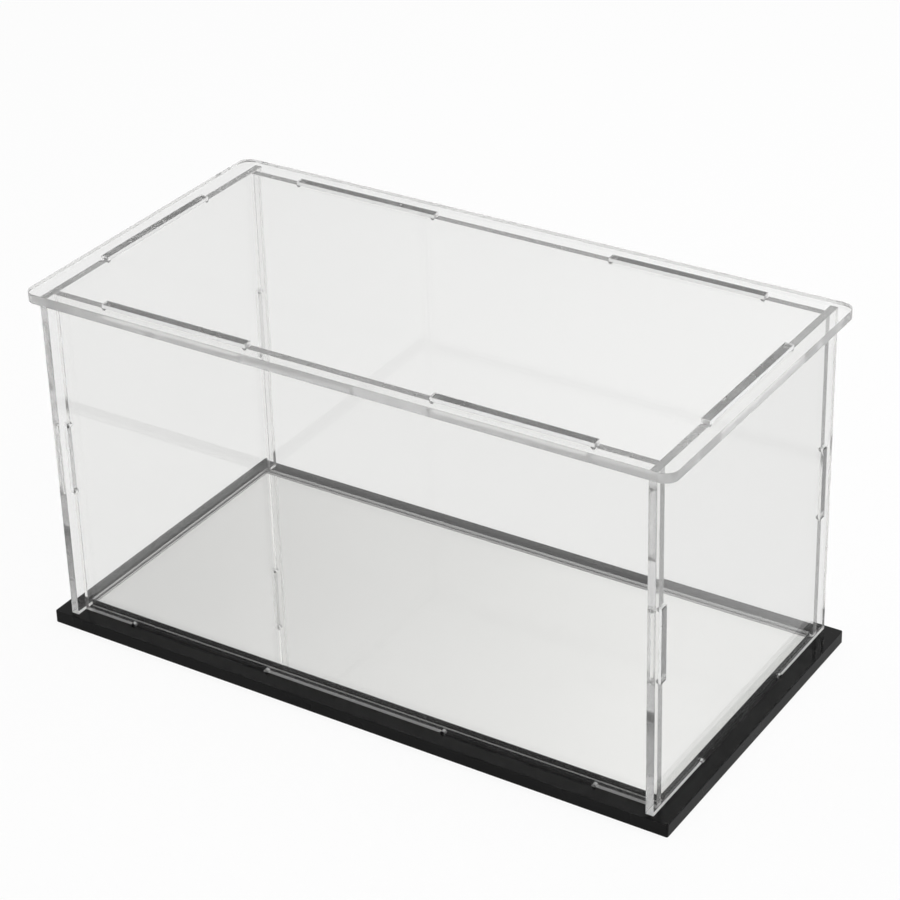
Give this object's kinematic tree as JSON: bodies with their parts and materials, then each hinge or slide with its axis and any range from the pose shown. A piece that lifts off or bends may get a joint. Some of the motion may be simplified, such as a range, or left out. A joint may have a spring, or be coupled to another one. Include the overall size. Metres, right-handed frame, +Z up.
{
  "type": "ball display case",
  "caption": "Clear tabletop display case for a ball: tab-and-slot walls and lid on a black base plate with a mirror floor panel.",
  "frame": {"origin": "middle of the base plate's underside, where the case stands", "axes": "+X along the case towards the right wall, -Y out of the front wall, +Z up"},
  "size_m": [0.421, 0.218, 0.224],
  "materials": {
    "clear_acrylic": "polished",
    "black_acrylic": "gloss",
    "mirror_acrylic": "polished"
  },
  "bodies": {
    "base": {"base_plate": "black_acrylic", "mirror_panel": "mirror_acrylic"},
    "walls": {"front_wall": "clear_acrylic", "back_wall": "clear_acrylic", "left_wall": "clear_acrylic", "right_wall": "clear_acrylic"},
    "lid": {"lid": "clear_acrylic"}
  },
  "joints": [
    {"name": "walls_lift", "type": "slide", "parent": "base", "child": "walls", "axis": [0, 0, 1], "range_m": [0, 0.23]},
    {"name": "lid_lift", "type": "slide", "parent": "walls", "child": "lid", "axis": [0, 0, 1], "range_m": [0, 0.1]}
  ]
}
